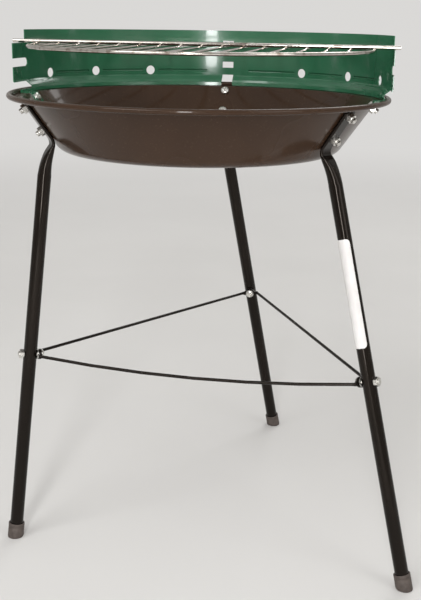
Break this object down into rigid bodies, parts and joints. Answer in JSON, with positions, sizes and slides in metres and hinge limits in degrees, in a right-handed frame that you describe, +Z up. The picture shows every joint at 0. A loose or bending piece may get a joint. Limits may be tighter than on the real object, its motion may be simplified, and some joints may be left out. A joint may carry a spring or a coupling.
{
  "type": "portable barbecue grill",
  "caption": "Portable round charcoal grill: a shallow steel bowl with a half-round windshield and a wire cooking grid, on splayed tube legs joined by brace rods.",
  "frame": {"origin": "on the floor, under the middle of the whole outline; the bowl's axis is 32 mm nearer the front (-Y) and 20 mm to the left (-X), because the stand leans as in the picture", "axes": "+Z up, +Y to the back, where the windshield and the back leg are, +X to the right seen from the front"},
  "size_m": [0.4116, 0.4238, 0.485],
  "materials": {
    "bowl_paint": "satin heat-proof paint, black-brown",
    "windshield_paint": "gloss dark-green paint",
    "zinc": "bright zinc plate",
    "chrome_wire": "bright chrome plate",
    "leg_paint": "gloss black paint",
    "foot_plastic": "dull dark-grey plastic",
    "brace_paint": "satin black paint",
    "label_paper": "blank white coated paper"
  },
  "bodies": {
    "stand": {"bowl": "bowl_paint", "windshield": "windshield_paint", "windshield_screws": "zinc", "windshield_nuts": "zinc", "leg_screws": "zinc", "leg_nuts": "zinc", "brace_bolts": "zinc", "brace_washers": "zinc", "brace_nuts": "zinc", "leg_back": "leg_paint", "leg_left": "leg_paint", "leg_right": "leg_paint", "foot_cap_back": "foot_plastic", "foot_cap_left": "foot_plastic", "foot_cap_right": "foot_plastic", "brace_front": "brace_paint", "brace_right": "brace_paint", "brace_left": "brace_paint", "leg_label": "label_paper"},
    "cooking_grid": {"grid_ring": "chrome_wire", "grid_rods": "chrome_wire", "grid_cross_bar": "chrome_wire", "grid_back_loop": "chrome_wire"}
  },
  "joints": [
    {"name": "grid_slide", "type": "slide", "parent": "stand", "child": "cooking_grid", "axis": [0, -1, 0], "range_m": [0, 0.2]}
  ]
}
